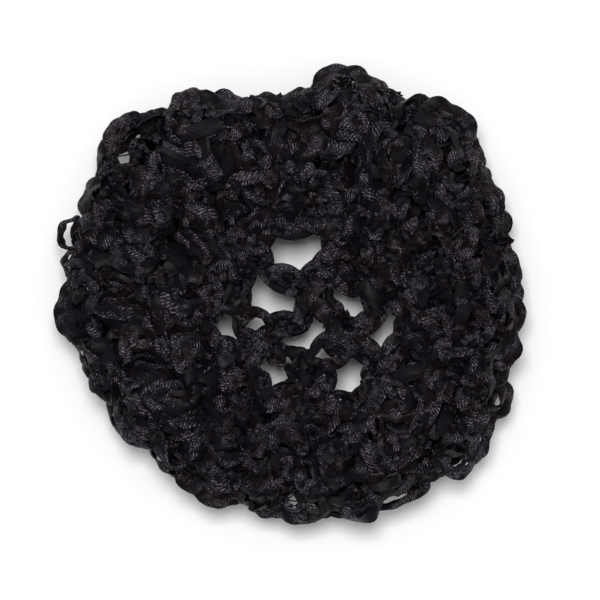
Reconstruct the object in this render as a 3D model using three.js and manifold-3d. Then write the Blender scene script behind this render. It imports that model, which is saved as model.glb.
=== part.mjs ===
// A hair snood crocheted from narrow satin ribbon, lying mouth down as it rests by itself.
// The crown is an open net that sinks in the middle, thick rounds of ribbon loops puff out
// around it and turn in underneath, and an elastic in the last round gathers the mouth that
// goes over the bun. Millimetres, +Z up, origin at the middle of the footprint.
import * as THREE from 'three';
import { mergeVertices } from 'three/addons/utils/BufferGeometryUtils.js';
import Module from 'manifold-3d';

// Driving dimensions
const NET_RADIUS = 46; // mean reach of the puffed wall, seen from above
const NET_HEIGHT = 22; // from the surface to the top of the puffs
const WALL_THICKNESS = 6; // crocheted ribbon, loops and all
const PUFF_HEIGHT = 1.2; // how far a cluster of loops stands out of the wall
const PUFF_UNEVEN = 0.3; // share by which handwork makes clusters larger or smaller
const FLOOR_SETTLE = 0.6; // how far the net's weight presses the lowest loops flat
const CROWN_RADIUS = 20; // open net in the middle of the crown
const CROWN_THICKNESS = 3; // two ribbons crossing
const CROWN_SAG = 8; // how far the middle of the crown sinks
const SAG_RADIUS = 34; // where the sinking begins
const CROWN_ACROSS = 3.6; // the open net lies off the middle, to the right
const CROWN_BACK = -3.6; // and towards the front
const MOUTH_RADIUS = 26; // free opening inside the elastic, relaxed
const MOUTH_ACROSS = 2;
const MOUTH_BACK = -2;
const ELASTIC_DIAMETER = 2;
const PIECE_GAP = 0.5; // clearance between one piece and the next

// Facets
const SEGMENTS_PER_CLUSTER = 4;
const ELASTIC_SEGMENTS = 48;
const ELASTIC_SIDES = 6;
const CROWN_SEGMENTS = 40;
const CROWN_RINGS = 5;
const GAP_SIDES = 12;
const UNEVEN_WAVES = 5;

// The rounds from the crown to the mouth, with the clusters of loops worked in each.
const ROUNDS = [
  { name: 'round_1', clusters: 16 },
  { name: 'round_2', clusters: 23 },
  { name: 'round_3', clusters: 28 },
  { name: 'round_4', clusters: 25 },
  { name: 'edging_round', clusters: 20 },
];

// Section of a round: along the wall as a share of the round's half height, out of it as a
// share of half the wall, and how much of a cluster's puff shows there.
const ROUND_SECTION = [
  { along: 1, out: 0.5, puff: 0 },
  { along: 0.6, out: 0.9, puff: 0.7 },
  { along: 0, out: 1, puff: 1 },
  { along: -0.6, out: 0.9, puff: 0.7 },
  { along: -1, out: 0.5, puff: 0 },
  { along: -1, out: -0.6, puff: 0 },
  { along: -0.5, out: -1, puff: 0.3 },
  { along: 0.5, out: -1, puff: 0.3 },
  { along: 1, out: -0.6, puff: 0 },
];

// The outline from above: how far the wall reaches in each direction, as a share of
// NET_RADIUS, every 15 degrees from the right-hand side round by the back.
const OUTLINE = [
  { side: 'right', reach: [1.01, 1.0, 1.02, 1.07, 1.02, 1.02] },
  { side: 'back', reach: [0.9, 0.91, 0.99, 1.06, 1.02, 1.02] },
  { side: 'left', reach: [1.01, 0.99, 0.96, 0.96, 0.97, 0.97] },
  { side: 'front', reach: [0.99, 1.02, 1.03, 1.07, 1.06, 1.02] },
];

// The gaps in the crown net, each an oval: its middle, length and width as shares of
// CROWN_RADIUS, and its turn in degrees from the right-hand side.
const CROWN_GAPS = [
  { across: -0.11, back: 0.6, long: 0.54, wide: 0.32, turn: 0 },
  { across: -0.38, back: 0.13, long: 0.44, wide: 0.27, turn: -25 },
  { across: 0.37, back: 0.13, long: 0.42, wide: 0.17, turn: -45 },
  { across: -0.06, back: -0.23, long: 0.4, wide: 0.26, turn: 12 },
  { across: -0.55, back: -0.12, long: 0.2, wide: 0.1, turn: 20 },
  { across: -0.72, back: 0.1, long: 0.12, wide: 0.07, turn: 10 },
  { across: -0.83, back: -0.15, long: 0.24, wide: 0.16, turn: 70 },
  { across: 0.75, back: -0.16, long: 0.42, wide: 0.17, turn: 55 },
  { across: 0.4, back: -0.62, long: 0.38, wide: 0.26, turn: 80 },
  { across: -0.35, back: -0.58, long: 0.34, wide: 0.13, turn: -38 },
  { across: 0.14, back: -0.41, long: 0.14, wide: 0.1, turn: 0 },
  { across: 0.54, back: 0.58, long: 0.12, wide: 0.07, turn: 60 },
];

const wasm = await Module();
wasm.setup();

const halfWall = WALL_THICKNESS / 2;
const highestPuff = PUFF_HEIGHT * (1 + PUFF_UNEVEN);
const bendRadius = (NET_HEIGHT - highestPuff + FLOOR_SETTLE - WALL_THICKNESS) / 2;
const bendHeight = bendRadius + halfWall - FLOOR_SETTLE;
const elasticCentreRadius = MOUTH_RADIUS + ELASTIC_DIAMETER / 2;
const crownCentre = new THREE.Vector2(CROWN_ACROSS, CROWN_BACK);
const mouthCentre = new THREE.Vector2(MOUTH_ACROSS, MOUTH_BACK);

// The outline as a smooth closed curve of reach against direction.
const outlineRows = OUTLINE.flatMap((row) => row.reach);
const outlineCurve = new THREE.CatmullRomCurve3(
  outlineRows.map((reach) => new THREE.Vector3(reach, 0, 0)),
  true,
  'catmullrom',
);

function crownDrop(radius) {
  const share = Math.min(radius / SAG_RADIUS, 1);
  return CROWN_SAG * (1 - share * share) ** 2;
}

// Middle of the wall in one direction, a share of the way from the crown net to the mouth:
// out over the top, round the side in a half circle and back in underneath.
function midWall(angle, share) {
  const reach = NET_RADIUS * outlineCurve.getPoint(angle / (2 * Math.PI)).x;
  const bendStart = reach - halfWall - bendRadius;
  const top = bendStart - CROWN_RADIUS;
  const side = Math.PI * bendRadius;
  const length = top + side + bendStart - elasticCentreRadius;
  const along = share * length;
  const turn = THREE.MathUtils.clamp((along - top) / bendRadius, 0, Math.PI);
  const shortOfBend = Math.max(top - along, along - top - side, 0);
  const radius = bendStart + bendRadius * Math.sin(turn) - shortOfBend;
  const sunk = turn === 0 ? crownDrop(radius) : 0;
  return { radius, height: bendHeight + bendRadius * Math.cos(turn) - sunk, turn, length };
}

// A point so far out of the middle of the wall. Its centre moves from the crown's to the
// outline's and on to the mouth's, and what would lie under the surface is flat on it.
function wallPoint(angle, share, out) {
  const { radius, height, turn } = midWall(angle, share);
  const nearest = share < 0.5 ? crownCentre : mouthCentre;
  const centre = nearest.clone().multiplyScalar(Math.cos(share * Math.PI) ** 2);
  const reach = radius + out * Math.sin(turn);
  return new THREE.Vector3(
    centre.x + reach * Math.cos(angle),
    centre.y + reach * Math.sin(angle),
    Math.max(height + out * Math.cos(turn), 0),
  );
}

// How far the clusters of a round puff out: broad lobes with narrow dips between them.
function puffAt(angle, clusters, index) {
  const dip = Math.sin((clusters * angle + Math.PI * index) / 2) ** 4;
  const uneven = 1 + PUFF_UNEVEN * Math.sin(UNEVEN_WAVES * angle + 2 * index);
  return PUFF_HEIGHT * uneven * (1 - 2 * dip);
}

// One crocheted round: a ring of puffed clusters, set off from those of the round before.
function roundGeometry(index) {
  const { clusters } = ROUNDS[index];
  const geometry = new THREE.TorusGeometry(
    NET_RADIUS,
    halfWall,
    ROUND_SECTION.length,
    clusters * SEGMENTS_PER_CLUSTER,
  );
  const { position, uv } = geometry.attributes;
  for (let i = 0; i < position.count; i += 1) {
    const angle = uv.getX(i) * 2 * Math.PI;
    const corner = ROUND_SECTION[Math.round(uv.getY(i) * ROUND_SECTION.length) % ROUND_SECTION.length];
    const halfRound = 0.5 / ROUNDS.length - PIECE_GAP / 2 / midWall(angle, 0).length;
    const share = (index + 0.5) / ROUNDS.length + corner.along * halfRound;
    const out = corner.out * halfWall + corner.puff * puffAt(angle, clusters, index);
    const { x, y, z } = wallPoint(angle, share, out);
    position.setXYZ(i, x, y, z);
  }
  return geometry;
}

function closedBody(geometry) {
  const bare = geometry.clone();
  bare.deleteAttribute('normal');
  bare.deleteAttribute('uv');
  return mergeVertices(bare, 1e-4);
}

function solidOf(geometry) {
  const body = closedBody(geometry);
  return new wasm.Manifold(new wasm.Mesh({
    numProp: 3,
    vertProperties: Float32Array.from(body.attributes.position.array),
    triVerts: Uint32Array.from(body.index.array),
  }));
}

function geometryOf(solid) {
  const { vertProperties, triVerts } = solid.getMesh();
  const geometry = new THREE.BufferGeometry();
  geometry.setAttribute('position', new THREE.BufferAttribute(Float32Array.from(vertProperties), 3));
  geometry.setIndex(new THREE.BufferAttribute(Uint32Array.from(triVerts), 1));
  return geometry;
}

// A ring of round section about the mouth, at the middle of the wall there.
function mouthRing(thickness, sides) {
  const geometry = new THREE.TorusGeometry(elasticCentreRadius, thickness / 2, sides, ELASTIC_SEGMENTS);
  return geometry.translate(MOUTH_ACROSS, MOUTH_BACK, bendHeight - bendRadius);
}

// The open net: a sinking disc as thick as two crossing ribbons, cut through at each gap.
function crownNetGeometry() {
  const under = [];
  const over = [];
  for (let ring = 0; ring <= CROWN_RINGS; ring += 1) {
    const radius = (CROWN_RADIUS - PIECE_GAP / 2) * ring / CROWN_RINGS;
    const height = bendHeight + bendRadius - crownDrop(radius);
    under.push(new THREE.Vector2(radius, height - CROWN_THICKNESS / 2));
    over.unshift(new THREE.Vector2(radius, height + CROWN_THICKNESS / 2));
  }
  const disc = new THREE.LatheGeometry([...under, ...over], CROWN_SEGMENTS).rotateX(Math.PI / 2);
  let net = solidOf(disc);
  for (const gap of CROWN_GAPS) {
    const cut = new THREE.CylinderGeometry(0.5, 0.5, 2 * NET_HEIGHT, GAP_SIDES).rotateX(Math.PI / 2);
    cut.scale(gap.long * CROWN_RADIUS, gap.wide * CROWN_RADIUS, 1);
    cut.rotateZ(THREE.MathUtils.degToRad(gap.turn));
    cut.translate(gap.across * CROWN_RADIUS, gap.back * CROWN_RADIUS, NET_HEIGHT / 2);
    net = net.subtract(solidOf(cut));
  }
  return geometryOf(net).translate(CROWN_ACROSS, CROWN_BACK, 0);
}

const ribbon = new THREE.MeshStandardMaterial({ color: 0x1c1a1d, roughness: 0.5, metalness: 0 });
const elastic = new THREE.MeshStandardMaterial({ color: 0x161518, roughness: 0.85, metalness: 0 });

function addPiece(name, geometry, material) {
  const mesh = new THREE.Mesh(closedBody(geometry), material);
  mesh.name = name;
  snood.add(mesh);
}

const snood = new THREE.Group();
addPiece('crown_net', crownNetGeometry(), ribbon);

// The last round is worked over the elastic, which lies half sunk in its inner edge.
const channel = solidOf(mouthRing(ELASTIC_DIAMETER + 2 * PIECE_GAP, 2 * ELASTIC_SIDES));
ROUNDS.forEach(({ name }, index) => {
  const round = roundGeometry(index);
  const last = index === ROUNDS.length - 1;
  addPiece(name, last ? geometryOf(solidOf(round).subtract(channel)) : round, ribbon);
});
addPiece('elastic_ring', mouthRing(ELASTIC_DIAMETER, ELASTIC_SIDES), elastic);

// The footprint is centred on the origin.
const bounds = new THREE.Box3().setFromObject(snood);
const middle = bounds.getCenter(new THREE.Vector3());
snood.position.set(-middle.x, -middle.y, -bounds.min.z);

export default snood;
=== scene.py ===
# A bun snood crocheted from black satin ribbon, lying mouth down on a pale table top.
import math

import bpy
import numpy as np
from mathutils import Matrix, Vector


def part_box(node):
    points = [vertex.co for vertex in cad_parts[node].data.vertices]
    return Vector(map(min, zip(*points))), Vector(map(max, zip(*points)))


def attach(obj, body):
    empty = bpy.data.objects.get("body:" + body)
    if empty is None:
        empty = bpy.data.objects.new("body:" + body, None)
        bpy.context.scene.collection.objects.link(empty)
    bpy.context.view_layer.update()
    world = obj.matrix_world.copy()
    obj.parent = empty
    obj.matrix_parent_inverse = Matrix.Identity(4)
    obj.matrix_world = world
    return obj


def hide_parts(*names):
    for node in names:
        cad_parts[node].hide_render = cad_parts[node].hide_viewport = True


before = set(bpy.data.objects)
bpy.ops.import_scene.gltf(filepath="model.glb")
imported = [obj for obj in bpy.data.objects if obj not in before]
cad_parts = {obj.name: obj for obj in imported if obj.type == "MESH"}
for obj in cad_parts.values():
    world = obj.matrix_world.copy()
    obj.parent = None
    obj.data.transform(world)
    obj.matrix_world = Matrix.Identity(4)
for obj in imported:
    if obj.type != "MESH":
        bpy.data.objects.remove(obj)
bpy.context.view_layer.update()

MM = 0.001

# The camera looks straight down, as in the photo. Its picture is 120 mm wide at the height
# where the snood is widest, and the snood lies a little up and left of the middle.
PIXEL = 0.2 * MM
PICTURE_PIXELS = 600
SNOOD_MIDDLE_PIXEL = (291, 294)
WIDEST_HEIGHT = 12 * MM
CAMERA_DISTANCE = 0.75

picture_width = PIXEL * PICTURE_PIXELS
camera_across = (PICTURE_PIXELS / 2 - SNOOD_MIDDLE_PIXEL[0]) * PIXEL
camera_back = (SNOOD_MIDDLE_PIXEL[1] - PICTURE_PIXELS / 2) * PIXEL
bpy.ops.object.camera_add(location=(camera_across, camera_back, WIDEST_HEIGHT + CAMERA_DISTANCE))
camera = bpy.context.object
camera.data.angle = 2 * math.atan(picture_width / 2 / CAMERA_DISTANCE)
camera.data.clip_start = 0.01
bpy.context.scene.camera = camera

# The table top and the light. A pale seamless sheet, one soft box that leans in from the
# back and a little from the left of the snood, and white walls that fill the shadows.
TABLE_SIZE = 3.0
TABLE_WHITE = 0.93
SOFT_BOX_SIZE = 0.28
SOFT_BOX_PLACE = (-0.03, 0.18, 0.9)
SOFT_BOX_POWER = 5.7
ROOM_WHITE = 0.55

bpy.ops.object.select_all(action="DESELECT")
bpy.ops.mesh.primitive_plane_add(size=TABLE_SIZE)
table_top = bpy.context.object
table_top.name = "table_top"
matt_white = bpy.data.materials.new("matt white paper")
matt_white.use_nodes = True
paper = matt_white.node_tree.nodes["Principled BSDF"].inputs
paper["Base Color"].default_value = (TABLE_WHITE, TABLE_WHITE, TABLE_WHITE, 1)
paper["Roughness"].default_value = 0.9
paper["Specular IOR Level"].default_value = 0.1
table_top.data.materials.append(matt_white)

bpy.ops.object.light_add(type="AREA", location=SOFT_BOX_PLACE)
soft_box = bpy.context.object
soft_box.name = "soft_box"
soft_box.data.shape = "SQUARE"
soft_box.data.size = SOFT_BOX_SIZE
soft_box.data.energy = SOFT_BOX_POWER
lean_from_back = math.atan2(SOFT_BOX_PLACE[1], SOFT_BOX_PLACE[2])
lean_from_right = math.atan2(SOFT_BOX_PLACE[0], SOFT_BOX_PLACE[2])
soft_box.rotation_euler = (-lean_from_back, lean_from_right, 0)

room = bpy.data.worlds.new("white room")
room.use_nodes = True
room.node_tree.nodes["Background"].inputs["Color"].default_value = (1, 1, 1, 1)
room.node_tree.nodes["Background"].inputs["Strength"].default_value = ROOM_WHITE
bpy.context.scene.world = room
bpy.context.scene.view_settings.view_transform = "Standard"

# The crown. The crochet starts here with a few loose stitches of three-millimetre satin
# ribbon, so it is an open net, and the surface that it lies on shows through its gaps. The
# ribbon opens out flat between stitches and rolls up where the hook drew it through a loop.
RIBBON_WIDTH = 3.0
RIBBON_THICKNESS = 0.16
RIB_PITCH = 0.42
RIB_LEAN = math.radians(24)
RIB_RELIEF = 0.12
REVERSE_RELIEF = 0.015
FLOAT_LENGTH = 0.55
FLOAT_WIDTH = 0.18
# The glint grey is a painted highlight on the float crests. It is laid on in noise patches of this
# size, which stand in for the facets that face the lamp.
GLINT_PATCH_SIZE = 3.4
DYE_PATCH = 9.0
FLOATS_ON_TOP = {"From Min": 0.44, "From Max": 0.66}
GLINTING_PLACES = {"From Min": 0.44, "From Max": 0.62}
REDDER_PLACES = {"From Min": 0.35, "From Max": 0.65}
BLUE_BLACK = "#05070e"
RED_BLACK = "#0e0609"
GLINT_GREY = "#756f79"
REVERSE_DARK = "#0b080c"
REVERSE_LIGHT = "#120e14"
FACE_ROUGHNESS = {"To Min": 0.42, "To Max": 0.3}
REVERSE_ROUGHNESS = 0.44
FACE_SPECULAR = 0.082
REVERSE_SPECULAR = 0.074
THREAD_SHEEN = 0.004
SHEEN_ROUGHNESS = 0.5
WAVE_TURN = 20.0  # radians that Blender's wave texture turns for each unit at scale 1


def linear(hex_colour):
    """Change an sRGB hex colour to the linear one that the shader takes."""
    shares = [int(hex_colour[i:i + 2], 16) / 255 for i in (1, 3, 5)]
    return [s / 12.92 if s <= 0.04045 else ((s + 0.055) / 1.055) ** 2.4 for s in shares] + [1]


def add_node(material, kind, links=(), **values):
    """Add a shader node, set its sockets and settings by name, and link its inputs."""
    node = material.node_tree.nodes.new(kind)
    for name, value in values.items():
        if name in node.inputs:
            node.inputs[name].default_value = value
        else:
            setattr(node, name, value)
    for socket, source in links:
        material.node_tree.links.new(source, node.inputs[socket])
    return node


def satin_face():
    """Satin-woven polyester: long shiny floats of thread in leaning ribs, over a black dye that
    turns to blue in places and to red in others. The glints of the floats are painted highlights:
    a light grey mixed into the colour on the rib crests, in noise patches that stand in for the
    facets that face the lamp."""
    material = bpy.data.materials.new("satin-woven polyester, face")
    material.use_nodes = True
    shader = material.node_tree.nodes["Principled BSDF"]
    cloth = add_node(material, "ShaderNodeUVMap", uv_map="ribbon").outputs["UV"]
    lean = add_node(material, "ShaderNodeMapping", [("Vector", cloth)], Rotation=(0, 0, RIB_LEAN))
    ribs = add_node(material, "ShaderNodeTexWave", [("Vector", lean.outputs[0])],
                    bands_direction="Y", Scale=2 * math.pi / WAVE_TURN / RIB_PITCH,
                    Distortion=1.0, Detail=1.0)
    stretch = add_node(material, "ShaderNodeMapping", [("Vector", lean.outputs[0])],
                       Scale=(1 / FLOAT_LENGTH, 1 / FLOAT_WIDTH, 1))
    floats = add_node(material, "ShaderNodeTexNoise", [("Vector", stretch.outputs[0])],
                      noise_dimensions="2D", Scale=1.0, Detail=1.0)
    lying_on_top = add_node(material, "ShaderNodeMapRange", [("Value", floats.outputs[0])],
                            **FLOATS_ON_TOP)
    # Painted highlight: the patches where the glint grey is painted in, standing in for facets that
    # face the lamp.
    glint_patch_noise = add_node(material, "ShaderNodeTexNoise", [("Vector", cloth)],
                       noise_dimensions="2D", Scale=1 / GLINT_PATCH_SIZE, Detail=1.0)
    glinting_places = add_node(material, "ShaderNodeMapRange", [("Value", glint_patch_noise.outputs[0])],
                      **GLINTING_PLACES)
    crest = add_node(material, "ShaderNodeMath",
                     [(0, ribs.outputs["Fac"]), (1, lying_on_top.outputs[0])], operation="MULTIPLY")
    glint = add_node(material, "ShaderNodeMath",
                     [(0, crest.outputs[0]), (1, glinting_places.outputs[0])], operation="MULTIPLY")
    dyed = add_node(material, "ShaderNodeTexNoise", [("Vector", cloth)],
                    noise_dimensions="2D", Scale=1 / DYE_PATCH, Detail=0.0)
    redder = add_node(material, "ShaderNodeMapRange", [("Value", dyed.outputs[0])],
                      **REDDER_PLACES)
    black = add_node(material, "ShaderNodeMix", [("Factor", redder.outputs[0])], data_type="RGBA")
    black.inputs[6].default_value = linear(BLUE_BLACK)
    black.inputs[7].default_value = linear(RED_BLACK)
    # The glint grey is painted into the base colour: a painted highlight on the float crests.
    colour = add_node(material, "ShaderNodeMix",
                      [("Factor", glint.outputs[0]), (6, black.outputs[2])], data_type="RGBA")
    colour.inputs[7].default_value = linear(GLINT_GREY)
    gloss = add_node(material, "ShaderNodeMapRange", [("Value", glint.outputs[0])],
                     **FACE_ROUGHNESS)
    bump = add_node(material, "ShaderNodeBump", [("Height", crest.outputs[0])],
                    Strength=1.0, Distance=RIB_RELIEF * MM)
    link = material.node_tree.links.new
    link(colour.outputs[2], shader.inputs["Base Color"])
    link(gloss.outputs[0], shader.inputs["Roughness"])
    link(bump.outputs[0], shader.inputs["Normal"])
    shader.inputs["Specular IOR Level"].default_value = FACE_SPECULAR
    shader.inputs["Sheen Weight"].default_value = THREAD_SHEEN
    shader.inputs["Sheen Roughness"].default_value = SHEEN_ROUGHNESS
    return material


def satin_reverse():
    """The dull side of the ribbon: flat and close, with the ribs only just showing through."""
    material = bpy.data.materials.new("satin-woven polyester, reverse")
    material.use_nodes = True
    shader = material.node_tree.nodes["Principled BSDF"]
    cloth = add_node(material, "ShaderNodeUVMap", uv_map="ribbon").outputs["UV"]
    lean = add_node(material, "ShaderNodeMapping", [("Vector", cloth)], Rotation=(0, 0, RIB_LEAN))
    ribs = add_node(material, "ShaderNodeTexWave", [("Vector", lean.outputs[0])],
                    bands_direction="Y", Scale=2 * math.pi / WAVE_TURN / RIB_PITCH,
                    Distortion=2.0, Detail=1.0)
    colour = add_node(material, "ShaderNodeMix", [("Factor", ribs.outputs["Fac"])],
                      data_type="RGBA")
    colour.inputs[6].default_value = linear(REVERSE_DARK)
    colour.inputs[7].default_value = linear(REVERSE_LIGHT)
    bump = add_node(material, "ShaderNodeBump", [("Height", ribs.outputs["Fac"])],
                    Strength=1.0, Distance=REVERSE_RELIEF * MM)
    link = material.node_tree.links.new
    link(colour.outputs[2], shader.inputs["Base Color"])
    link(bump.outputs[0], shader.inputs["Normal"])
    shader.inputs["Roughness"].default_value = REVERSE_ROUGHNESS
    shader.inputs["Specular IOR Level"].default_value = REVERSE_SPECULAR
    shader.inputs["Sheen Weight"].default_value = THREAD_SHEEN
    shader.inputs["Sheen Roughness"].default_value = SHEEN_ROUGHNESS
    return material


ribbon_finish = [satin_face(), satin_reverse()]

# Where the crown lies, as in its solid: level at its rim and sagging to its middle. All
# lengths of the crochet are in millimetres.
NET_RADIUS = 46.0
WALL = 6.0
BEND_RADIUS = 7.52
FLOOR_SETTLE = 0.6
CROWN_RADIUS = 20.0
CROWN_SAG = 8.0
SAG_RADIUS = 34.0
BEND_HEIGHT = BEND_RADIUS + WALL / 2 - FLOOR_SETTLE


def box_middle(node):
    low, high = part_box(node)
    return (np.array(low) + np.array(high))[:2] / 2 / MM


crown_middle = box_middle("crown_net")


def crown_drop(radius):
    return CROWN_SAG * (1 - np.minimum(radius / SAG_RADIUS, 1) ** 2) ** 2


def crown_place(spot, out):
    """Point of the crown: millimetres right of and behind the snood's middle, and outwards."""
    radius = np.linalg.norm(spot - crown_middle, axis=1)
    height = BEND_HEIGHT + BEND_RADIUS - crown_drop(radius) + out
    return np.concatenate([spot, height[:, None]], axis=1)


def from_pixels(pixels):
    """Photo pixels to millimetres right of and behind the middle of the snood."""
    return (np.array(pixels) - SNOOD_MIDDLE_PIXEL) * (PIXEL / MM, -PIXEL / MM)


# The gaps that the surface shows through, from photo pixels: thirteen in the crown's net, one
# in the round beside it at the far front right, and five between the loops of the side. Their
# edges are ribbon, so they bow in a little.
GAP_CORNER_PIXELS = {
    "back": [(270, 248), (276, 237), (313, 234), (321, 236), (322, 249), (312, 260), (300, 271),
             (274, 264)],
    "middle left": [(257, 273), (251, 289), (250, 306), (270, 314), (293, 312), (296, 297)],
    "far left": [(225, 312), (233, 317), (238, 340), (222, 335), (215, 325)],
    "small left": [(244, 327), (250, 321), (256, 317), (262, 319), (266, 325), (260, 327),
                   (256, 331)],
    "left slit": [(231, 305), (237, 300), (243, 298), (239, 304), (234, 307)],
    "front middle": [(314, 315), (325, 331), (309, 351), (284, 345), (282, 338), (296, 336),
                     (307, 331)],
    "small front": [(322, 347), (332, 358), (322, 359), (314, 357)],
    "tiny front": [(321, 373), (327, 375), (324, 377)],
    "middle right": [(330, 279), (339, 292), (361, 297), (365, 311), (351, 317), (333, 298)],
    "far right": [(389, 307), (399, 314), (393, 322), (394, 332), (381, 348), (367, 336),
                  (380, 327)],
    "front right": [(352, 355), (364, 365), (360, 385), (351, 393), (334, 390), (336, 370)],
    "front left": [(266, 353), (269, 365), (283, 366), (288, 376), (272, 387), (270, 370),
                   (258, 369)],
    "far front right": [(417, 349), (414, 357), (414, 365), (405, 366), (410, 357)],
    "back right": [(359, 248), (368, 248), (365, 255), (362, 261), (361, 254)],
    "back left side": [(117, 152), (128, 151), (130, 160), (125, 168), (118, 161)],
    "front side": [(290, 490), (299, 497), (298, 505), (290, 507), (287, 499)],
    "left side": [(80, 285), (85, 282), (92, 290), (87, 292)],
    "front right side": [(382, 501), (389, 496), (395, 495), (391, 502), (385, 504)],
    "back side": [(345, 81), (349, 88), (340, 89)],
}
GAP_BOW = 0.14  # how far a long edge of a gap bows into it, as a share of the edge's length
BOWED_LENGTH = 5.0  # shorter edges than this bow less
BOW_PARTS = np.array([0.0, 0.25, 0.5, 0.75])
GAP_SEEN = 4.0  # how far off a gap is looked for
PROBE = 0.05  # how far aside the way out of a gap is felt for
CLEARING_PASSES = 6
CLEARING_SHARE = 0.8  # how much of the way out each pass moves
DRAWN_PARTS = 16
THREAD_SHARE = 0.1  # how much of its width a ribbon keeps where it has to cross a gap


def bowed_outline(corners):
    """Outline of a gap: ribbon edges bulge into it between the corners, given clockwise."""
    side = np.roll(corners, -1, axis=0) - corners
    inward = np.stack([side[:, 1], -side[:, 0]], axis=1)
    share = GAP_BOW * np.minimum(np.linalg.norm(side, axis=1) / BOWED_LENGTH, 1)
    bow = share[:, None] * 4 * BOW_PARTS * (1 - BOW_PARTS)
    straight = corners[:, None] + side[:, None] * BOW_PARTS[:, None]
    return (straight + inward[:, None] * bow[:, :, None]).reshape(-1, 2)


def clockwise(corners):
    """The same corners, turned round if they run the other way."""
    x, y = corners.T
    area = np.sum(x * np.roll(y, -1) - y * np.roll(x, -1))
    return corners if area < 0 else corners[::-1]


GAPS = [bowed_outline(clockwise(from_pixels(pixels))) for pixels in GAP_CORNER_PIXELS.values()]


def gap_distance(points):
    """How far each point lies outside the nearest gap, below zero inside one and capped."""
    nearest = np.full(len(points), GAP_SEEN)
    for start in GAPS:
        middle = start.mean(axis=0)
        seen = np.linalg.norm(start - middle, axis=1).max() + GAP_SEEN
        close = np.flatnonzero(np.linalg.norm(points[:, :2] - middle, axis=1) < seen)
        side = np.roll(start, -1, axis=0) - start
        off = points[close, None, :2] - start
        along = np.clip(np.sum(off * side, axis=2) / np.sum(side * side, axis=1), 0, 1)
        distance = np.linalg.norm(off - along[:, :, None] * side, axis=2).min(axis=1)
        spans = (off[:, :, 1] < 0) != (off[:, :, 1] < side[:, 1])
        crossed = spans & (off[:, :, 0] < off[:, :, 1] * side[:, 0] / side[:, 1])
        inside = crossed.sum(axis=1) % 2 == 1
        nearest[close] = np.minimum(nearest[close], np.where(inside, -distance, distance))
    return nearest


def unit(vectors):
    return vectors / np.maximum(np.linalg.norm(vectors, axis=-1, keepdims=True), 1e-9)


def clear_gaps(points, margin):
    """Move points sideways until they lie a margin outside every gap of the net."""
    points = points.copy()
    close = np.flatnonzero(gap_distance(points) < margin)
    for _ in range(CLEARING_PASSES):
        moved = points[close]
        distance = gap_distance(moved)
        slope = np.stack([gap_distance(moved + [PROBE, 0, 0]) - distance,
                          gap_distance(moved + [0, PROBE, 0]) - distance], axis=1)
        push = np.clip(margin - distance, 0, None)
        points[close, :2] += unit(slope) * (push * CLEARING_SHARE)[:, None]
    return points


def drawn_in(path, row, places):
    """Draw points of a ribbon in to its middle line as far as keeps every gap of the net clear,
    and to a thread where it has to cross one."""
    places = places.copy()
    near = np.flatnonzero((gap_distance(path) < RIBBON_WIDTH)[row])
    parts = np.arange(1, DRAWN_PARTS + 1) / DRAWN_PARTS
    middles = path[row[near]]
    reach = places[near] - middles
    tries = middles[:, None] + reach[:, None] * parts[:, None]
    clear = gap_distance(tries.reshape(-1, 3)).reshape(len(near), DRAWN_PARTS) > 0
    share = np.cumprod(clear, axis=1).sum(axis=1) / DRAWN_PARTS
    crosses = gap_distance((path[1:] + path[:-1]) / 2) < 0
    thread = np.append(crosses, False) | np.append(False, crosses)
    share = np.where(thread[row[near]], THREAD_SHARE, share)
    places[near] = middles + reach * share[:, None]
    return places


def eased(rows, passes):
    """Smooth a row of points or vectors along its length, keeping both ends."""
    for _ in range(passes):
        rows = np.concatenate([rows[:1], (rows[:-2] + 2 * rows[1:-1] + rows[2:]) / 4, rows[-1:]])
    return rows


# A strip of ribbon is cut flat at its real length, with the weave laid on it, and then each
# of its points is carried to its place in the crochet.
CELLS_ACROSS = 5
ROLLED_TURN = 4.2  # how far the ribbon's section turns where a stitch rolls it up
PLEAT_TURN = 2.0  # how far each pleat turns where a stitch gathers it
CUPPED_TURN = 0.5  # how far the section turns where the ribbon stands free
CRUMPLE_TURN = 0.16
CRUMPLE_SHIFT = 0.18
REVERSED_SHARE = 0.25  # how many petals show the dull side of the ribbon
FLOOR_CLEARANCE = 0.15
PLACED_STEP = 0.6
PETAL_POINTS = 8
ALONG_ROLL = (7.0, 13.0, 29.0)  # where on the roll a strip is cut from, so that no two match


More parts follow.
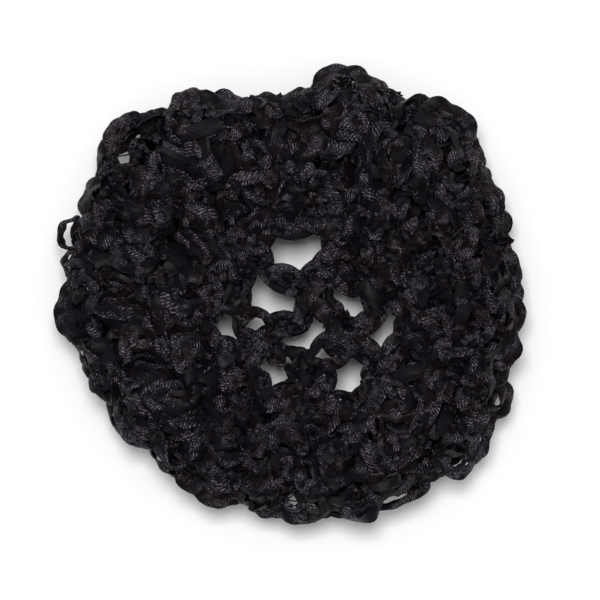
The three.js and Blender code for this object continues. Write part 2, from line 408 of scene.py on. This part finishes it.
def lay_ribbon(name, path, sides, outward, folds, clears_gaps):
    """Make one strip along a path: sides lie across it, and folds turn its cells in radians."""
    cells = folds.shape[1] + 1
    bpy.ops.object.select_all(action="DESELECT")
    bpy.ops.mesh.primitive_grid_add(x_subdivisions=cells, y_subdivisions=len(path) - 1, size=1)
    strip = bpy.context.object
    strip.name = name
    flat = np.empty(len(strip.data.vertices) * 3)
    strip.data.vertices.foreach_get("co", flat)
    flat = flat.reshape(-1, 3) + 0.5
    row = np.rint(flat[:, 1] * (len(path) - 1)).astype(int)
    column = np.rint(flat[:, 0] * cells).astype(int)
    tangents = unit(np.gradient(path, axis=0))
    sides = unit(sides - tangents * np.sum(sides * tangents, axis=1, keepdims=True))
    faces = np.cross(tangents, sides)
    faces = faces * np.where(np.sum(faces * outward, axis=1, keepdims=True) < 0, -1, 1)
    turned = np.cumsum(np.pad(folds, ((0, 0), (1, 0))), axis=1)
    turned = turned - turned.mean(axis=1, keepdims=True)
    cell = RIBBON_WIDTH / cells
    across = np.cumsum(np.pad(np.cos(turned), ((0, 0), (1, 0))), axis=1) * cell
    raised = np.cumsum(np.pad(np.sin(turned), ((0, 0), (1, 0))), axis=1) * cell
    across = across - across.mean(axis=1, keepdims=True)
    raised = raised - raised.mean(axis=1, keepdims=True)
    places = (path[row] + sides[row] * across[row, column][:, None]
              + faces[row] * raised[row, column][:, None])
    if clears_gaps:
        places = drawn_in(path, row, places)
    places[:, 2] = np.maximum(places[:, 2], FLOOR_CLEARANCE)
    strip.data.vertices.foreach_set("co", (places * MM).ravel())
    weave = strip.data.uv_layers[0]
    weave.name = "ribbon"
    spread = np.empty(len(weave.data) * 2)
    weave.data.foreach_get("uv", spread)
    cut_length = np.linalg.norm(np.diff(path, axis=0), axis=1).sum()
    place_on_roll = abs(path[0] @ ALONG_ROLL)
    spread = spread.reshape(-1, 2) * (RIBBON_WIDTH, cut_length) + (0, place_on_roll)
    weave.data.foreach_set("uv", spread.ravel())
    strip.data.update()
    return strip


PETAL_FULLNESS = 0.8  # below 1, a petal is fuller than a plain arch


def petal_path(place, stops, outs, bulges, leans):
    """Arches of ribbon between the stops where stitches hold it, standing out of the wall."""
    count = len(stops) - 1
    step = np.arange(count * PETAL_POINTS + 1) / PETAL_POINTS
    petal = np.minimum(step.astype(int), count - 1)
    part = step - petal
    arch = np.sin(math.pi * part) ** PETAL_FULLNESS
    spot = stops[petal] + (stops[petal + 1] - stops[petal]) * part[:, None]
    low = outs[petal] * (1 - part) + outs[petal + 1] * part
    out = low + bulges[petal] * arch
    path = place(spot, out)
    outward = unit(place(spot, out + 1.0) - path)
    chord = np.diff(path[::PETAL_POINTS], axis=0)[petal]
    across = unit(np.cross(chord, outward))
    path = eased(path + across * (leans[petal] * arch)[:, None], 2)
    return path, across, outward, petal, part


NET_CLEARANCE = 0.75
GAP_EDGE = 1.3  # nearer to a gap than this, the ribbon is partly rolled up
GAP_EDGE_FADE = 0.6
GAP_EDGE_ROLLED = 0.6
HELD_SHORT = 0.35  # the smaller, the shorter the part that a stitch holds rolled up
# How uneven the handwork is: how far in or out a stitch holds the ribbon, how the petals
# differ in height, how far they lean aside, and how they turn, twist and cup, in radians.
STITCH_UNEVEN = 1.3
BULGE_SPREAD = (0.4, 1.3)
LEAN_SPREAD = 0.4
TILT_SPREAD = 0.55
TWIST_SPREAD = 1.0
CUP_SPREAD = 0.6
FEW_CREASES = 0.4  # the smaller, the more of a petal's turn falls in one crease


def crochet_strand(name, place, stops, rng, low=-0.4, bulge=1.4, cells=CELLS_ACROSS,
                   cupped=CUPPED_TURN):
    """One length of crocheted ribbon, held by a stitch at each of its stops."""
    count = len(stops) - 1
    outs = low + rng.uniform(-STITCH_UNEVEN, STITCH_UNEVEN, count + 1)
    bulges = bulge * rng.uniform(*BULGE_SPREAD, count)
    leans = rng.normal(0, LEAN_SPREAD, count)
    path, across, outward, petal, part = petal_path(place, stops, outs, bulges, leans)
    sign = np.where(rng.uniform(0, 1, count) < REVERSED_SHARE, -1, 1)
    tilt = rng.normal(0, TILT_SPREAD, count)[petal]
    tilt = tilt + rng.normal(0, TWIST_SPREAD, count)[petal] * (part - 0.5)
    level = across * sign[petal][:, None]
    sides = level * np.cos(tilt)[:, None] + outward * np.sin(tilt)[:, None]
    sides = unit(eased(sides, 2))
    held = 1 - np.sin(math.pi * part) ** HELD_SHORT
    path = clear_gaps(path, NET_CLEARANCE)
    at_gap = np.clip((GAP_EDGE - gap_distance(path)) / GAP_EDGE_FADE, 0, 1)
    held = np.maximum(held, GAP_EDGE_ROLLED * at_gap)
    creases = cells - 1
    turn = rng.normal(-cupped, CUP_SPREAD, count)[petal][:, None]
    cup = rng.dirichlet(np.full(creases, FEW_CREASES), count)[petal] * turn
    cup = cup + eased(rng.normal(0, CRUMPLE_TURN, (len(path), creases)), 1)
    rolled = np.full(creases, -ROLLED_TURN / creases)
    pleats = PLEAT_TURN * (-1.0) ** np.arange(creases)
    rolls_up = rng.uniform(0, 1, count)[petal][:, None]
    gathered = rolled * rolls_up + pleats * (1 - rolls_up)
    folds = eased(cup + (gathered - cup) * held[:, None], 1)
    path = path + eased(rng.normal(0, CRUMPLE_SHIFT, path.shape), 1)
    return lay_ribbon(name, path, sides, outward, folds, clears_gaps=True)


def spaced(points, passes):
    """Points at even steps along a line through a few chosen ones, with its corners rounded."""
    points = np.array(points, dtype=float)
    lengths = np.concatenate([[0], np.cumsum(np.linalg.norm(np.diff(points, axis=0), axis=1))])
    steps = np.linspace(0, lengths[-1], int(lengths[-1] / PLACED_STEP) + 2)
    columns = [np.interp(steps, lengths, column) for column in points.T]
    return eased(np.stack(columns, axis=1), passes)


# A strand on a chosen path is even: it only turns and rolls up a little more here and less
# there, in slow waves, each given as its size and its radians to a millimetre.
STRAND_TURN = (0.4, 0.8)
STRAND_ROLL = (0.15, 1.7)
EVEN_CREASES = 2.0


def placed_strand(name, path, outward, rolled, tilt, rng, clears_gaps=True):
    """A length of ribbon on a chosen path, rolled from 0, flat, to 1, a cord."""
    along = np.arange(len(path)) * PLACED_STEP
    wave = rng.uniform(0, 2 * math.pi, 2)
    across = unit(np.cross(np.gradient(path, axis=0), outward))
    turn = tilt + STRAND_TURN[0] * np.sin(along * STRAND_TURN[1] + wave[0])
    sides = across * np.cos(turn)[:, None] + outward * np.sin(turn)[:, None]
    creases = CELLS_ACROSS - 1
    amount = rolled + STRAND_ROLL[0] * np.sin(along * STRAND_ROLL[1] + wave[1])
    amount = np.clip(amount, 0, 1)
    folds = -ROLLED_TURN * amount[:, None] * rng.dirichlet(np.full(creases, EVEN_CREASES))
    folds = folds + eased(rng.normal(0, CRUMPLE_TURN, folds.shape), 1)
    path = path + eased(rng.normal(0, CRUMPLE_SHIFT / 2, path.shape), 1)
    return lay_ribbon(name, path, sides, outward, folds, clears_gaps)


SMOOTH_TO = math.radians(25)


def finish_piece(name, strips, node):
    """Join a round's strips, give the ribbon its thickness and put the piece in the frame."""
    bpy.ops.object.select_all(action="DESELECT")
    for strip in strips:
        strip.select_set(True)
    bpy.context.view_layer.objects.active = strips[0]
    bpy.ops.object.join()
    piece = strips[0]
    piece.name = name
    piece.data.materials.clear()
    for side_finish in ribbon_finish:
        piece.data.materials.append(side_finish)
    solidify = piece.modifiers.new("ribbon thickness", "SOLIDIFY")
    solidify.thickness = RIBBON_THICKNESS * MM
    solidify.offset = 0
    solidify.material_offset = 1
    bpy.ops.object.modifier_apply(modifier=solidify.name)
    bpy.ops.object.shade_smooth_by_angle(angle=SMOOTH_TO)
    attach(piece, "root")
    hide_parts(node)


CROWN_STEP = (2.2, 4.6)
CROWN_REACH = 21.5
CROWN_LAPS = 6
CROWN_STOPS = 70
CROWN_SEED = 5
WANDER_TRIES = 40
WANDER_CLEARANCE = 0.7
WANDER_CHANCE = 0.6


def wandering_stops(start, count, middle, reach, step, others, rng):
    """Stops of a ribbon that fills a place where the others don't, and goes round the gaps."""
    stops = [start]
    while len(stops) < count:
        way = rng.uniform(0, 2 * math.pi, WANDER_TRIES)
        length = rng.uniform(*step, WANDER_TRIES)
        best, best_room = None, 0
        for spot in stops[-1] + np.stack([length * np.cos(way), length * np.sin(way)], axis=1):
            line = np.linspace(stops[-1], spot, 7)
            too_close = gap_distance(line).min() < WANDER_CLEARANCE
            if too_close or np.linalg.norm(spot - middle) > reach:
                continue
            room = np.linalg.norm(np.array(stops + others) - spot, axis=1).min()
            room = room + rng.uniform(0, WANDER_CHANCE)
            if room > best_room:
                best, best_room = spot, room
        stops.append(stops[-2] if best is None else best)
    return np.array(stops)


# The strands between the gaps that show singly, from photo pixels: how far each is rolled
# up, how high it lies on the net and how far it leans over, in radians (its dull side is
# out at about 3).
CROWN_STRANDS = [
    {"through": [(305, 286), (301, 274), (288, 268), (274, 268), (264, 275), (268, 284),
                 (280, 290), (297, 293)],
     "rolled": 0.45, "lift": 2.2, "tilt": 0.5},
    {"through": [(266, 277), (284, 278), (304, 283)],
     "rolled": 0.1, "lift": 0.6, "tilt": 0.1},
    {"through": [(270, 282), (286, 288), (304, 290)],
     "rolled": 0.2, "lift": 0.2, "tilt": -0.1},
    {"through": [(323, 281), (314, 290), (306, 301), (299, 312), (296, 323)],
     "rolled": 0.06, "lift": 3.0, "tilt": -0.15},
    {"through": [(310, 298), (319, 307), (328, 318), (335, 330), (341, 343)],
     "rolled": 0.06, "lift": 2.6, "tilt": 0.1},
    {"through": [(219, 306), (229, 309), (238, 309), (246, 312), (256, 311), (264, 315),
                 (274, 316), (286, 314), (298, 318)],
     "rolled": 0.75, "lift": 1.6, "tilt": 0.1},
    {"through": [(250, 262), (246, 274), (245, 286), (246, 298), (245, 311)],
     "rolled": 0.4, "lift": 0.5, "tilt": 0.2},
    {"through": [(278, 334), (288, 329), (300, 323)],
     "rolled": 0.5, "lift": 1.2, "tilt": 0.2},
    {"through": [(337, 333), (326, 338), (318, 346), (311, 354), (303, 358)],
     "rolled": 0.4, "lift": 0.9, "tilt": -0.2},
    {"through": [(326, 343), (338, 341), (350, 337), (361, 333)],
     "rolled": 0.15, "lift": 1.4, "tilt": 0.1},
    {"through": [(366, 300), (372, 310), (374, 321), (368, 331), (360, 345)],
     "rolled": 0.25, "lift": 1.2, "tilt": 0.2},
    {"through": [(262, 388), (272, 393), (284, 396), (296, 394), (304, 388)],
     "rolled": 0.35, "lift": 1.0, "tilt": 0.1},
    {"through": [(362, 286), (370, 294), (376, 304), (380, 316)],
     "rolled": 0.3, "lift": 2.6, "tilt": 3.1},
    {"through": [(391, 313), (402, 321), (412, 331)],
     "rolled": 0.3, "lift": 2.4, "tilt": 3.3},
]
RIM_OUT = 0.75  # how far outside a gap its rim runs
LACE_START = from_pixels((322, 282))  # the lace is the looser net among the gaps
LACE_MIDDLE = from_pixels((312, 318))
LACE_REACH = 13.0
LACE_STEP = (2.4, 5.0)
LACE_LAPS = 3
LACE_LOW = -1.0
LACE_RISE = 0.4
LACE_STOPS = 30

rng = np.random.default_rng(CROWN_SEED)
strips = []
for strand in CROWN_STRANDS:
    line = spaced(from_pixels(strand["through"]), 6)
    path = crown_place(line, np.full(len(line), strand["lift"]))
    upwards = np.tile([0.0, 0.0, 1.0], (len(path), 1))
    strips.append(placed_strand("crown_ribbon", path, upwards, strand["rolled"], strand["tilt"],
                                rng))
for pixels in GAP_CORNER_PIXELS.values():
    corners = from_pixels(pixels)
    if np.linalg.norm(corners.mean(axis=0) - crown_middle) > CROWN_REACH:
        continue
    stops = np.concatenate([corners, corners[:1]])
    stops = stops + unit(stops - corners.mean(axis=0)) * RIM_OUT
    strips.append(crochet_strand("crown_ribbon", crown_place, stops, rng, low=0.2, bulge=0.9))
others = [crown_middle]
for lap in range(LACE_LAPS):
    stops = wandering_stops(LACE_START, LACE_STOPS, LACE_MIDDLE, LACE_REACH, LACE_STEP, others, rng)
    others += list(stops)
    strips.append(crochet_strand("crown_ribbon", crown_place, stops, rng,
                                 low=LACE_LOW + LACE_RISE * lap, bulge=0.8))
for lap in range(CROWN_LAPS):
    stops = wandering_stops(crown_middle + (0, CROWN_REACH - 1), CROWN_STOPS, crown_middle,
                            CROWN_REACH, CROWN_STEP, others, rng)
    others += list(stops)
    strips.append(crochet_strand("crown_ribbon", crown_place, stops, rng))
finish_piece("crown_net_strands", strips, "crown_net")

# The rounds, of the same ribbon. Each is worked into the one before it: posts of ribbon cross
# its width and close the wall, and free loops stand out on the outside. Two lie on top, the
# third is the puffed side, the fourth turns in below, and the edging goes over the elastic.
ROUND_NODES = ["round_1", "round_2", "round_3", "round_4", "edging_round"]
ROUND_RADII = [25, 34, 43, 41, 31]
ELASTIC_RADIUS = 27.0
ROUND_WIDTH = 9.5
FIRST_ROUND_SEED = 11
ROUNDS_ON_TOP = 2
POST_STEP = 1.4
LOOP_FORWARD = 1.55  # how far a loop works on round its round, on average
LOOP_WANDER = 2.0
LOOP_ACROSS = 3.2
LOOP_LAPS = 3
POST_LAPS_LOW = (-1.7, -2.7)  # how far inside the surface each lap of posts runs
POST_ENDS = (-0.05, 1.05)  # a little past both edges of the round, as shares of its width
POST_UNEVEN = 0.5
POST_END_UNEVEN = 0.08
SIDE_OUT = 2.2  # how far loops may stand out at the side
TOP_OUT = 2.5  # how much further they may on top and beneath
OUTLINE_REACH = [1.01, 1.0, 1.02, 1.07, 1.02, 1.02, 0.9, 0.91, 0.99, 1.06, 1.02, 1.02,
                 1.01, 0.99, 0.96, 0.96, 0.97, 0.97, 0.99, 1.02, 1.03, 1.07, 1.06, 1.02]
OUTLINE_ANGLES = np.linspace(0, 2 * math.pi, len(OUTLINE_REACH), endpoint=False)

mouth_middle = box_middle("elastic_ring")
ring_low, ring_high = (np.array(corner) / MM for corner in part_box("elastic_ring"))
cord_radius = (ring_high[2] - ring_low[2]) / 2
ring_radius = (ring_high[0] - ring_low[0]) / 2 - cord_radius
ring_height = ring_low[2] + cord_radius


def wall_place(spot, out):
    """Point of the wall: direction, share of the way to the mouth, millimetres outwards."""
    angle, share = spot[:, 0], spot[:, 1]
    reach = NET_RADIUS * np.interp(angle, OUTLINE_ANGLES, OUTLINE_REACH, period=2 * math.pi)
    bend_start = reach - WALL / 2 - BEND_RADIUS
    top = bend_start - CROWN_RADIUS
    side = math.pi * BEND_RADIUS
    along = share * (top + side + bend_start - ELASTIC_RADIUS)
    turn = np.clip((along - top) / BEND_RADIUS, 0, math.pi)
    out = np.minimum(out, SIDE_OUT + TOP_OUT * np.abs(np.cos(turn)))
    short_of_bend = np.maximum(np.maximum(top - along, along - top - side), 0)
    radius = bend_start + BEND_RADIUS * np.sin(turn) - short_of_bend
    sunk = np.where(turn == 0, crown_drop(radius), 0)
    middle = np.where((share < 0.5)[:, None], crown_middle, mouth_middle)
    middle = middle * (np.cos(np.clip(share, 0, 1) * math.pi) ** 2)[:, None]
    radius = radius + out * np.sin(turn)
    height = BEND_HEIGHT + BEND_RADIUS * np.cos(turn) - sunk + out * np.cos(turn)
    return np.stack([middle[:, 0] + radius * np.cos(angle),
                     middle[:, 1] + radius * np.sin(angle), height], axis=1)


# The loops that make the outline, clockwise from the back left, from photo pixels: each
# stands out of one notch, goes over its points and goes back in at the next notch.
EDGE_LOOPS = [
    {"notch": (174, 95), "over": [(186, 86), (200, 90)]},
    {"notch": (212, 95), "over": [(224, 88)]},
    {"notch": (238, 98), "over": [(252, 92), (266, 91)]},
    {"notch": (278, 95), "over": [(297, 87), (311, 86)]},
    {"notch": (318, 79), "over": [(324, 68), (338, 63), (354, 64)]},
    {"notch": (366, 70), "over": [(373, 74), (382, 78)]},
    {"notch": (388, 89), "over": [(398, 91)]},
    {"notch": (409, 100), "over": [(423, 94)]},
    {"notch": (434, 101), "over": [(444, 99), (460, 107), (475, 121)]},
    {"notch": (476, 134), "over": [(485, 150)]},
    {"notch": (486, 163), "over": [(494, 171)]},
    {"notch": (491, 176), "over": [(503, 190)]},
    {"notch": (505, 208), "over": [(513, 219)]},
    {"notch": (502, 245), "over": [(517, 257), (524, 277), (523, 292)]},
    {"notch": (521, 302), "over": [(527, 317)]},
    {"notch": (516, 333), "over": [(522, 350)]},
    {"notch": (510, 367), "over": [(513, 377)]},
    {"notch": (509, 388), "over": [(516, 398), (511, 415)]},
    {"notch": (497, 416), "over": [(491, 437), (486, 456)]},
    {"notch": (478, 464), "over": [(471, 476), (457, 478)]},
    {"notch": (448, 474), "over": [(438, 479)]},
    {"notch": (420, 480), "over": [(412, 487), (401, 494), (390, 501)]},
    {"notch": (380, 508), "over": [(375, 520), (362, 527)]},
    {"notch": (350, 521), "over": [(340, 520)]},
    {"notch": (328, 518), "over": [(310, 524), (290, 523)]},
    {"notch": (275, 520), "over": [(262, 518), (248, 511)]},
    {"notch": (238, 500), "over": [(230, 507), (211, 507)]},
    {"notch": (192, 497), "over": [(183, 487)]},
    {"notch": (176, 481), "over": [(161, 476), (152, 463)]},
    {"notch": (146, 452), "over": [(136, 446), (126, 444)]},
    {"notch": (116, 438), "over": [(108, 428), (105, 418)]},
    {"notch": (103, 405), "over": [(90, 390)]},
    {"notch": (86, 380), "over": [(79, 367), (71, 346)]},
    {"notch": (66, 338), "over": [(58, 331), (55, 315), (56, 300)]},
    {"notch": (66, 284), "over": [(73, 262)]},
    {"notch": (76, 240), "over": [(78, 226)]},
    {"notch": (84, 214), "over": [(77, 203), (83, 182)]},
    {"notch": (98, 177), "over": [(94, 160), (97, 144)]},
    {"notch": (103, 139), "over": [(108, 126), (122, 112)]},
    {"notch": (132, 113), "over": [(146, 112), (164, 112)]},
]
# Three loops stand off the outline singly, rolled up thin, so that light shows inside them.
THIN_LOOPS = [
    [(80, 219), (68, 220), (61, 226), (60, 236), (62, 246), (70, 250), (80, 244)],
    [(74, 250), (66, 253), (63, 262), (66, 272), (76, 277)],
    [(420, 474), (427, 480), (428, 487), (420, 495), (404, 500), (390, 507), (376, 508)],
]
THIN_LOOP_HEIGHT = 11.0
EDGE_HEIGHTS = (9.0, 14.0)
EDGE_LEANS = (0.6, 1.25)
EDGE_ROLLED = (0.1, 0.45)
EDGE_TILT = 0.35
EDGE_ROOT = 4.5
EDGE_INSETS = (1.1, 2.6, 4.4)  # how far inside the outline the turns of a loop run


def edge_loop(row, next_notch, inset, rng):
    """One turn of a loop that stands out of the side, its ribbon cupped and leaning back."""
    rim = from_pixels([row["notch"], *row["over"], next_notch])
    inward = -unit(rim)
    line = np.concatenate([[rim[0] + inward[0] * EDGE_ROOT], rim + inward * inset,
                           [rim[-1] + inward[-1] * EDGE_ROOT]])
    height = rng.uniform(*EDGE_HEIGHTS)
    path = spaced(np.pad(line, ((0, 0), (0, 1)), constant_values=height), 3)
    lean = rng.uniform(*EDGE_LEANS)
    outward = np.pad(unit(path[:, :2]) * math.cos(lean), ((0, 0), (0, 1)),
                     constant_values=math.sin(lean))
    rolled = rng.uniform(*EDGE_ROLLED)
    tilt = rng.normal(0, EDGE_TILT)
    return placed_strand("edge_ribbon", path, outward, rolled, tilt, rng)


WRAP_PITCH = 2.2
WRAP_RADIUS = 1.45


def wrapping(rng):
    """The stitches of the edging, each taken round the elastic, which hide it all the way."""
    length = 2 * math.pi * ring_radius * math.hypot(1, 2 * math.pi * WRAP_RADIUS / WRAP_PITCH)
    part = np.linspace(0, 1, int(length / PLACED_STEP))
    along = 2 * math.pi * part
    turn = along * round(2 * math.pi * ring_radius / WRAP_PITCH)
    radial = np.stack([np.cos(along), np.sin(along), np.zeros(len(part))], axis=1)
    upward = np.array([0.0, 0.0, 1.0])
    outward = radial * np.cos(turn)[:, None] + upward * np.sin(turn)[:, None]
    path = radial * ring_radius + (*mouth_middle, ring_height) + outward * WRAP_RADIUS
    return placed_strand("edging_ribbon", path, outward, rolled=0.1, tilt=0.0, rng=rng,
                         clears_gaps=False)


def loop_stops(index, rng):
    """Stops of a round's loops: short steps every way, that together work round its width."""
    radius = ROUND_RADII[index]
    count = int(2 * math.pi * radius * LOOP_LAPS / LOOP_FORWARD)
    along = (np.arange(count) * LOOP_FORWARD + rng.normal(0, LOOP_WANDER, count)) / radius
    across = np.cumsum(rng.normal(0, LOOP_ACROSS, count)) / ROUND_WIDTH
    share = 1.1 * np.abs(across % 2 - 1) - 0.05
    return np.stack([along, (index + share) / len(ROUND_NODES)], axis=1)


def post_stops(index, rng):
    """Stops of a round's posts: to and fro between its edges, all the way round."""
    radius = ROUND_RADII[index]
    count = int(2 * math.pi * radius / POST_STEP) // 2 * 2
    angles = np.linspace(0, 2 * math.pi, count + 1)
    angles = angles + rng.normal(0, POST_UNEVEN, count + 1) / radius
    across_round = np.where(np.arange(count + 1) % 2 == 0, *POST_ENDS)
    across_round = across_round + rng.normal(0, POST_END_UNEVEN, count + 1)
    return np.stack([angles, (index + across_round) / len(ROUND_NODES)], axis=1)


for index, node in enumerate(ROUND_NODES):
    rng = np.random.default_rng(index + FIRST_ROUND_SEED)
    strips = []
    for low in POST_LAPS_LOW if index < ROUNDS_ON_TOP else POST_LAPS_LOW[:1]:
        strips.append(crochet_strand(f"{node}_ribbon", wall_place, post_stops(index, rng), rng,
                                     low=low, bulge=0.5, cells=3, cupped=0.2))
    strips.append(crochet_strand(f"{node}_ribbon", wall_place, loop_stops(index, rng), rng))
    if node == "round_3":
        for row, next_row in zip(EDGE_LOOPS, EDGE_LOOPS[1:] + EDGE_LOOPS[:1]):
            for inset in EDGE_INSETS:
                strips.append(edge_loop(row, next_row["notch"], inset, rng))
        for pixels in THIN_LOOPS:
            line = spaced(from_pixels(pixels), 3)
            path = np.pad(line, ((0, 0), (0, 1)), constant_values=THIN_LOOP_HEIGHT)
            upwards = np.tile([0.0, 0.0, 1.0], (len(path), 1))
            strips.append(placed_strand("edge_ribbon", path, upwards, rolled=0.8, tilt=0.3,
                                        rng=rng, clears_gaps=False))
    if node == "edging_round":
        strips.append(wrapping(rng))
    finish_piece(f"{node}_loops", strips, node)

# The elastic. A ring of round elastic cord with a braided cover, worked into the edging,
# which hides it. It draws the mouth in, so that the fabric puffs out all round it.
CORD_TURNS = 240
CORD_SIDES = 18
BRAID_STRANDS = 6
BRAID_LENGTH = 3.2
BRAID_RELIEF = 0.09
CORD_SMOOTH_TO = math.radians(40)
YARNS_ROUND_TURN = 6
YARN_RELIEF = 0.04
YARN_DARK = "#08080a"
YARN_LIGHT = "#1c1a1e"


def braided_cover():
    """Spun polyester yarn braided over a rubber core: dull black, with the yarns crossing."""
    material = bpy.data.materials.new("braided polyester over rubber")
    material.use_nodes = True
    shader = material.node_tree.nodes["Principled BSDF"]
    cover = add_node(material, "ShaderNodeUVMap", uv_map="UVMap").outputs["UV"]
    yarns = add_node(material, "ShaderNodeTexWave", [("Vector", cover)],
                     bands_direction="DIAGONAL", Scale=CORD_TURNS / WAVE_TURN * YARNS_ROUND_TURN,
                     Distortion=0.6)
    colour = add_node(material, "ShaderNodeMix", [("Factor", yarns.outputs["Fac"])],
                      data_type="RGBA")
    colour.inputs[6].default_value = linear(YARN_DARK)
    colour.inputs[7].default_value = linear(YARN_LIGHT)
    bump = add_node(material, "ShaderNodeBump", [("Height", yarns.outputs["Fac"])],
                    Strength=0.6, Distance=YARN_RELIEF * MM)
    material.node_tree.links.new(colour.outputs[2], shader.inputs["Base Color"])
    material.node_tree.links.new(bump.outputs[0], shader.inputs["Normal"])
    shader.inputs["Roughness"].default_value = 0.8
    shader.inputs["Specular IOR Level"].default_value = 0.1
    return material


bpy.ops.object.select_all(action="DESELECT")
bpy.ops.mesh.primitive_torus_add(major_segments=CORD_TURNS, minor_segments=CORD_SIDES,
                                 major_radius=ring_radius, minor_radius=cord_radius)
elastic = bpy.context.object
elastic.name = "elastic_cord"
points = np.empty(len(elastic.data.vertices) * 3)
elastic.data.vertices.foreach_get("co", points)
points = points.reshape(-1, 3)
round_mouth = np.arctan2(points[:, 1], points[:, 0])
centre = np.stack([np.cos(round_mouth), np.sin(round_mouth), np.zeros(len(points))], axis=1)
centre = centre * ring_radius
outwards = unit(points - centre)
round_cord = np.arctan2(outwards[:, 2], np.sum(outwards * unit(centre), axis=1))
lay = round(ring_radius * 2 * math.pi / BRAID_LENGTH) * round_mouth
braid = np.cos(BRAID_STRANDS / 2 * round_cord + lay) * np.cos(BRAID_STRANDS / 2 * round_cord - lay)
points = centre + outwards * (cord_radius - BRAID_RELIEF * (1 - np.abs(braid)))[:, None]
points = points + (ring_low + ring_high) / 2
elastic.data.vertices.foreach_set("co", (points * MM).ravel())
elastic.data.update()
elastic.data.materials.append(braided_cover())
bpy.ops.object.shade_smooth_by_angle(angle=CORD_SMOOTH_TO)
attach(elastic, "root")
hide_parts("elastic_ring")
